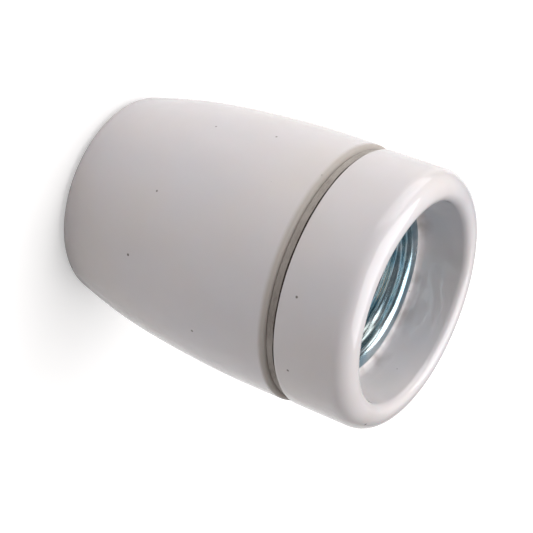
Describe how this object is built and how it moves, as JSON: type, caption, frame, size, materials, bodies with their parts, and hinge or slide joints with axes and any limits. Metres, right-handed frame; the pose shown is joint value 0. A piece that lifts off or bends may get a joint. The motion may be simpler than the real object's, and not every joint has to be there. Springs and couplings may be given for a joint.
{
  "type": "lamp holder",
  "caption": "White glazed porcelain lamp holder with a barrel-shaped dome, a screw-on skirt and a rolled metal screw shell for a screw-cap lamp.",
  "frame": {"origin": "centre of the dome's flat end face, where the holder stands", "axes": "+Z along the lamp's axis, out of the mouth; +Y towards the live terminal; +X towards the earth screw"},
  "size_m": [0.0476, 0.0476, 0.0634],
  "materials": {
    "dome": "clear glossy glaze",
    "joint_ring": "matte pressed fibre",
    "skirt": "clear glossy glaze",
    "screw_shell": "bright blue-passivated zinc plating",
    "contact_block": "matte fired steatite",
    "entry_bush": "bright blue-passivated zinc plating",
    "entry_washer": "bright blue-passivated zinc plating",
    "entry_nut": "bright blue-passivated zinc plating",
    "mounting_bracket": "bright blue-passivated zinc plating",
    "block_screws": "bright blue-passivated zinc plating",
    "centre_contact": "spring bronze sheet",
    "live_rivet": "bare drawn brass",
    "live_terminal": "bare drawn brass",
    "live_clamp_washer": "bright blue-passivated zinc plating",
    "live_screw": "bright blue-passivated zinc plating",
    "side_contact": "spring bronze sheet",
    "neutral_rivet": "bare drawn brass",
    "neutral_terminal": "bare drawn brass",
    "neutral_clamp_washer": "bright blue-passivated zinc plating",
    "neutral_screw": "bright blue-passivated zinc plating",
    "earth_clamp_washer": "bright blue-passivated zinc plating",
    "earth_screw": "bright blue-passivated zinc plating"
  },
  "bodies": {
    "dome_and_block": {"dome": "dome", "contact_block": "contact_block", "entry_bush": "entry_bush", "entry_washer": "entry_washer", "entry_nut": "entry_nut", "mounting_bracket": "mounting_bracket", "block_screws": "block_screws", "live_rivet": "live_rivet", "live_terminal": "live_terminal", "side_contact": "side_contact", "neutral_rivet": "neutral_rivet", "neutral_terminal": "neutral_terminal"},
    "joint_ring": {"joint_ring": "joint_ring"},
    "skirt_and_shell": {"skirt": "skirt", "screw_shell": "screw_shell"},
    "centre_contact": {"centre_contact": "centre_contact"},
    "live_clamp_washer": {"live_clamp_washer": "live_clamp_washer"},
    "live_screw": {"live_screw": "live_screw"},
    "neutral_clamp_washer": {"neutral_clamp_washer": "neutral_clamp_washer"},
    "neutral_screw": {"neutral_screw": "neutral_screw"},
    "earth_clamp_washer": {"earth_clamp_washer": "earth_clamp_washer"},
    "earth_screw": {"earth_screw": "earth_screw"}
  },
  "joints": [
    {"name": "skirt_turn", "type": "hinge", "parent": "dome_and_block", "child": "joint_ring", "pos_m": [0, 0, 0.04925], "axis": [0, 0, 1], "range_deg": [0, 810.3]},
    {"name": "skirt_lift", "type": "slide", "parent": "joint_ring", "child": "skirt_and_shell", "axis": [0, 0, 1], "range_m": [0, 0.00817]},
    {"name": "centre_contact_press", "type": "hinge", "parent": "dome_and_block", "child": "centre_contact", "pos_m": [0, 0.0039, 0.0298], "axis": [1, 0, 0], "range_deg": [0, 14], "stiffness_Nm_per_rad": 0.15, "deforming": ["centre_contact"]},
    {"name": "live_screw_lift", "type": "slide", "parent": "dome_and_block", "child": "live_clamp_washer", "axis": [0, 0, -1], "range_m": [0, 0.0018]},
    {"name": "live_screw_turn", "type": "hinge", "parent": "live_clamp_washer", "child": "live_screw", "pos_m": [0, 0.0126, 0.0132], "axis": [0, 0, -1], "range_deg": [0, 1080.3]},
    {"name": "neutral_screw_lift", "type": "slide", "parent": "dome_and_block", "child": "neutral_clamp_washer", "axis": [0, 0, -1], "range_m": [0, 0.0018]},
    {"name": "neutral_screw_turn", "type": "hinge", "parent": "neutral_clamp_washer", "child": "neutral_screw", "pos_m": [0, -0.0126, 0.0127], "axis": [0, 0, -1], "range_deg": [0, 1080.3]},
    {"name": "earth_screw_lift", "type": "slide", "parent": "dome_and_block", "child": "earth_clamp_washer", "axis": [-1, 0, 0], "range_m": [0, 0.0012]},
    {"name": "earth_screw_turn", "type": "hinge", "parent": "earth_clamp_washer", "child": "earth_screw", "pos_m": [0.0116, 0, 0.0108], "axis": [-1, 0, 0], "range_deg": [0, 720.3]}
  ],
  "couplings": [
    {"joint": "skirt_turn", "follows": "skirt_lift", "rad_per_m": 1731.4},
    {"joint": "live_screw_turn", "follows": "live_screw_lift", "rad_per_m": 10472},
    {"joint": "neutral_screw_turn", "follows": "neutral_screw_lift", "rad_per_m": 10472},
    {"joint": "earth_screw_turn", "follows": "earth_screw_lift", "rad_per_m": 10472}
  ]
}
